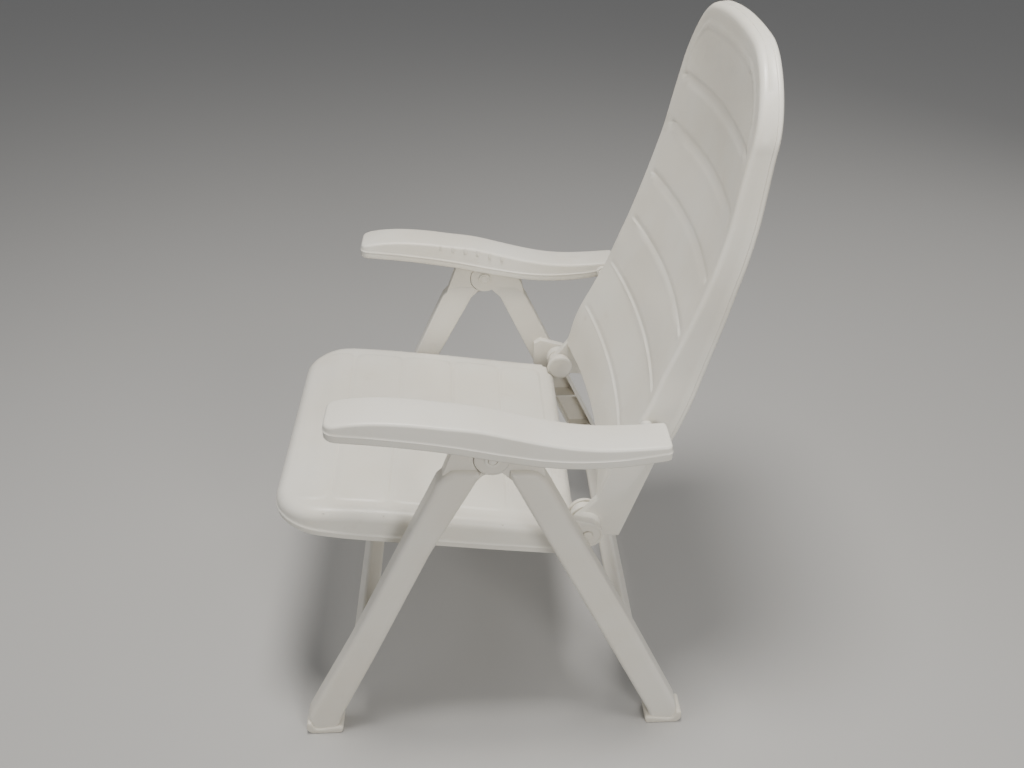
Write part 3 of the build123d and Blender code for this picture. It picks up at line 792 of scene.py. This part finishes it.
def build_rear_leg(side, side_name):
    """Rear leg with the slotted hub disc and the lug of the seat hinge."""
    corners = ((251, 4, 5), (296, 4, 7), (299, 22, 6), (294, 40, 10), (219, 202, 200), (106, 436, 200),
               (58, 536, 32),
               (14, 537, 2), (13, 529, 6), (250, 20, 6))
    left_edge = ((250, 20), (13, 529))
    right_edge = ((294, 40), (219, 202), (106, 436))
    leg = leg_shell(f"rear_leg_bar_{side_name}", "rear_frame", side, corners, (0, 1, 6, 7), left_edge,
                    right_edge)
    hub_outline = arc(LEG_PIVOT, HUB_R, 300, 100) + [(16, 597), (38, 583), (60, 540), (64, 520), (30, 505)]
    hub = extruded(f"rear_hub_{side_name}", "rear_frame", hub_outline, side * (LEG_INNER + 0.5),
                   side * PLATE_OUTER, 1.1)
    slot = extruded("tongue_room", "rear_frame",
                    arc(LEG_PIVOT, HUB_R + 4, 120, 330) + [(-10, 554)], side * 268.4, side * 279.6, 0)
    subtract(hub, slot)
    ridge = lathe(f"hub_rim_{side_name}", "rear_frame", LEG_PIVOT,
                  mirrored(side, soft_profile([(284.6, 24.6), (285.7, 24.6), (285.7, 23.2), (284.6, 22.8)],
                                              0.5)))
    lug = lathe(f"hinge_lug_{side_name}", "rear_frame", SEAT_PIVOT, mirrored(side, soft_profile(
        [(250, 6.2), (250, 22.5), (263, 22.5), (263, 19.2), (261.9, 18.4), (261.9, 8.2), (260.9, 7.4),
         (260.9, 6.2)], 1.1)))
    neck = extruded(f"lug_neck_{side_name}", "rear_frame",
                    ((84, 376), (112, 362), (133, 371), (140, 415), (96, 428),
                     (84, 420)), side * 250.4, side * 262.8, 1.5)
    bore = lathe("bore", "rear_frame", SEAT_PIVOT, mirrored(side, [(245, 20.5), (270, 20.5)]), closed=True)
    subtract(neck, bore)
    join(leg, hub, ridge, lug, neck)
    dress(leg, FRAME)
    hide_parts(f"rear_leg_{side_name}")


def build_foot(end, side, side_name, outline):
    """A low boot on the leg's end with a rolled lip that climbs its outer side."""
    body = f"{end}_frame"
    cap = extruded(f"{end}_foot_cap_{side_name}", body, rounded_polygon(outline)[0],
                   side * (LEG_INNER - 3), side * (LEG_OUTER + 3), 2.6)
    dress(cap, FEET)
    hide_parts(f"{end}_foot_{side_name}")


def build_pins(side, side_name):
    """Hub ring and knob, the seat hinge's domed cap and its outer button."""
    ring = lathe(f"hub_ring_{side_name}", "rear_frame", LEG_PIVOT, mirrored(side, soft_profile(
        [(284.8, 6.8), (287.2, 6.8), (287.2, 11), (284.8, 11)], 0.9)))
    knob = lathe(f"hub_knob_{side_name}", "rear_frame", LEG_PIVOT, mirrored(side, soft_profile(
        [(262.2, 6.4), (286.4, 6.4), (288.6, 5.2), (289.2, 3.0), (289.3, 0.05)], 1.0)))
    inner_ring = lathe(f"hub_head_{side_name}", "rear_frame", LEG_PIVOT, mirrored(side, soft_profile(
        [(262.4, 11), (260, 11), (259.6, 9.4), (260.4, 8.6), (260.4, 7.2), (259.4, 6.2),
         (258.9, 0.05)], 0.7)))
    join(knob, inner_ring)
    cap = lathe(f"hinge_cap_{side_name}", "hinge_pins", SEAT_PIVOT, mirrored(side, soft_profile(
        [(209, 5.8), (209, 24), (204.6, 24), (202.8, 20), (202.4, 10), (202.3, 0.05)], 2.0, 6)))
    button = lathe(f"hinge_button_{side_name}", "hinge_pins", SEAT_PIVOT, mirrored(side, soft_profile(
        [(205, 5.95), (262, 5.95), (262, 7.4), (264, 7.1), (265, 4.4), (265.2, 0.05)], 1.0)))
    for piece, node in ((ring, "leg_pivot_ring"), (knob, "leg_pivot_pin"), (cap, "seat_hinge_cap"),
                        (button, "seat_hinge_pin")):
        dress(piece, PINS)
        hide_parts(f"{node}_{side_name}")


for side, name in SIDES:
    build_front_leg(side, name)
    build_rear_leg(side, name)
    build_foot("front", side, name,
               ((-321, 0, 13), (-262, 0, 5), (-258, 12, 4), (-264, 14, 3), (-304, 9, 9), (-310, 25, 3),
                (-317, 27, 4)))
    build_foot("rear", side, name,
               ((246, 0, 5), (307, 0, 13), (304, 27, 4), (296, 25, 3), (290, 9, 9), (250, 14, 3),
                (244, 12, 4)))
    build_pins(side, name)

# ---------------------------------------------------------------- camera, lights, floor
def build_stage():
    """Pale floor, dim sky and soft area lights."""
    floor_size = 9.0
    bm = bmesh.new()
    bmesh.ops.create_grid(bm, x_segments=1, y_segments=1, size=floor_size)
    mesh = bpy.data.meshes.new("floor")
    bm.to_mesh(mesh)
    bm.free()
    floor = bpy.data.objects.new("floor", mesh)
    bpy.context.scene.collection.objects.link(floor)
    pale = bpy.data.materials.new("floor_pale")
    pale.use_nodes = True
    shader = pale.node_tree.nodes["Principled BSDF"]
    shader.inputs["Base Color"].default_value = (0.50, 0.49, 0.47, 1)
    shader.inputs["Roughness"].default_value = 0.75
    floor.data.materials.append(pale)
    world = bpy.data.worlds.new("studio")
    world.use_nodes = True
    background = world.node_tree.nodes["Background"]
    background.inputs["Color"].default_value = (0.84, 0.86, 0.9, 1)
    background.inputs["Strength"].default_value = 0.26
    bpy.context.scene.world = world

    def area(name, place, target, size, power, colour):
        light = bpy.data.lights.new(name, "AREA")
        light.shape = "DISK"
        light.size = size
        light.energy = power
        light.color = colour
        obj = bpy.data.objects.new(name, light)
        obj.location = place
        obj.rotation_euler = (Vector(target) - Vector(place)).to_track_quat("-Z", "Y").to_euler()
        bpy.context.scene.collection.objects.link(obj)

    area("ceiling", (0.3, -0.1, 2.8), (0, 0, 0.5), 0.7, 60, (1.0, 0.975, 0.94))
    area("side_fill", (2.3, 0.9, 1.5), (0, 0, 0.6), 0.9, 26, (1.0, 0.98, 0.95))
    area("front_fill", (1.2, -2.6, 1.7), (0, 0, 0.5), 1.8, 12, (0.95, 0.97, 1.0))
    area("rear_fill", (-1.4, 2.4, 1.9), (0, 0, 0.6), 1.4, 12, (1.0, 0.98, 0.95))


def build_camera():
    """Camera at a standing height beside the chair, looking down at it."""
    camera = bpy.data.cameras.new("camera")
    camera.sensor_width = 36.0
    camera.lens = 32.6
    camera.clip_end = 50
    obj = bpy.data.objects.new("camera", camera)
    pitch, roll = 0.5771, 0.01075
    heading = Vector((-0.99871, 0.05077, 0)).normalized()
    forward = heading * cos(pitch) + Vector((0, 0, -1)) * sin(pitch)
    right = forward.cross(Vector((0, 0, 1))).normalized()
    up = right.cross(forward)
    basis = Matrix((right, up, -forward)).transposed()
    obj.matrix_world = Matrix.Translation((1.2838, -0.0356, 1.3287)) @ (basis @ Matrix.Rotation(roll, 3,
            "Z")).to_4x4()
    bpy.context.scene.collection.objects.link(obj)
    bpy.context.scene.camera = obj


build_stage()
build_camera()
bpy.context.view_layer.update()

LOOKS = (("front_foot", FEET), ("rear_foot", FEET), ("armrest_pin", STEEL), ("latch_peg", PINS),
         ("seat_stud", PINS),
         ("seat_hinge", PINS), ("leg_pivot", PINS), ("seat", SHELL), ("backrest", SHELL), ("armrest",
                 SHELL),
         ("", FRAME))
for cad_name, cad_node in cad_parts.items():
    dress(cad_node, next(look for start, look in LOOKS if cad_name.startswith(start)))
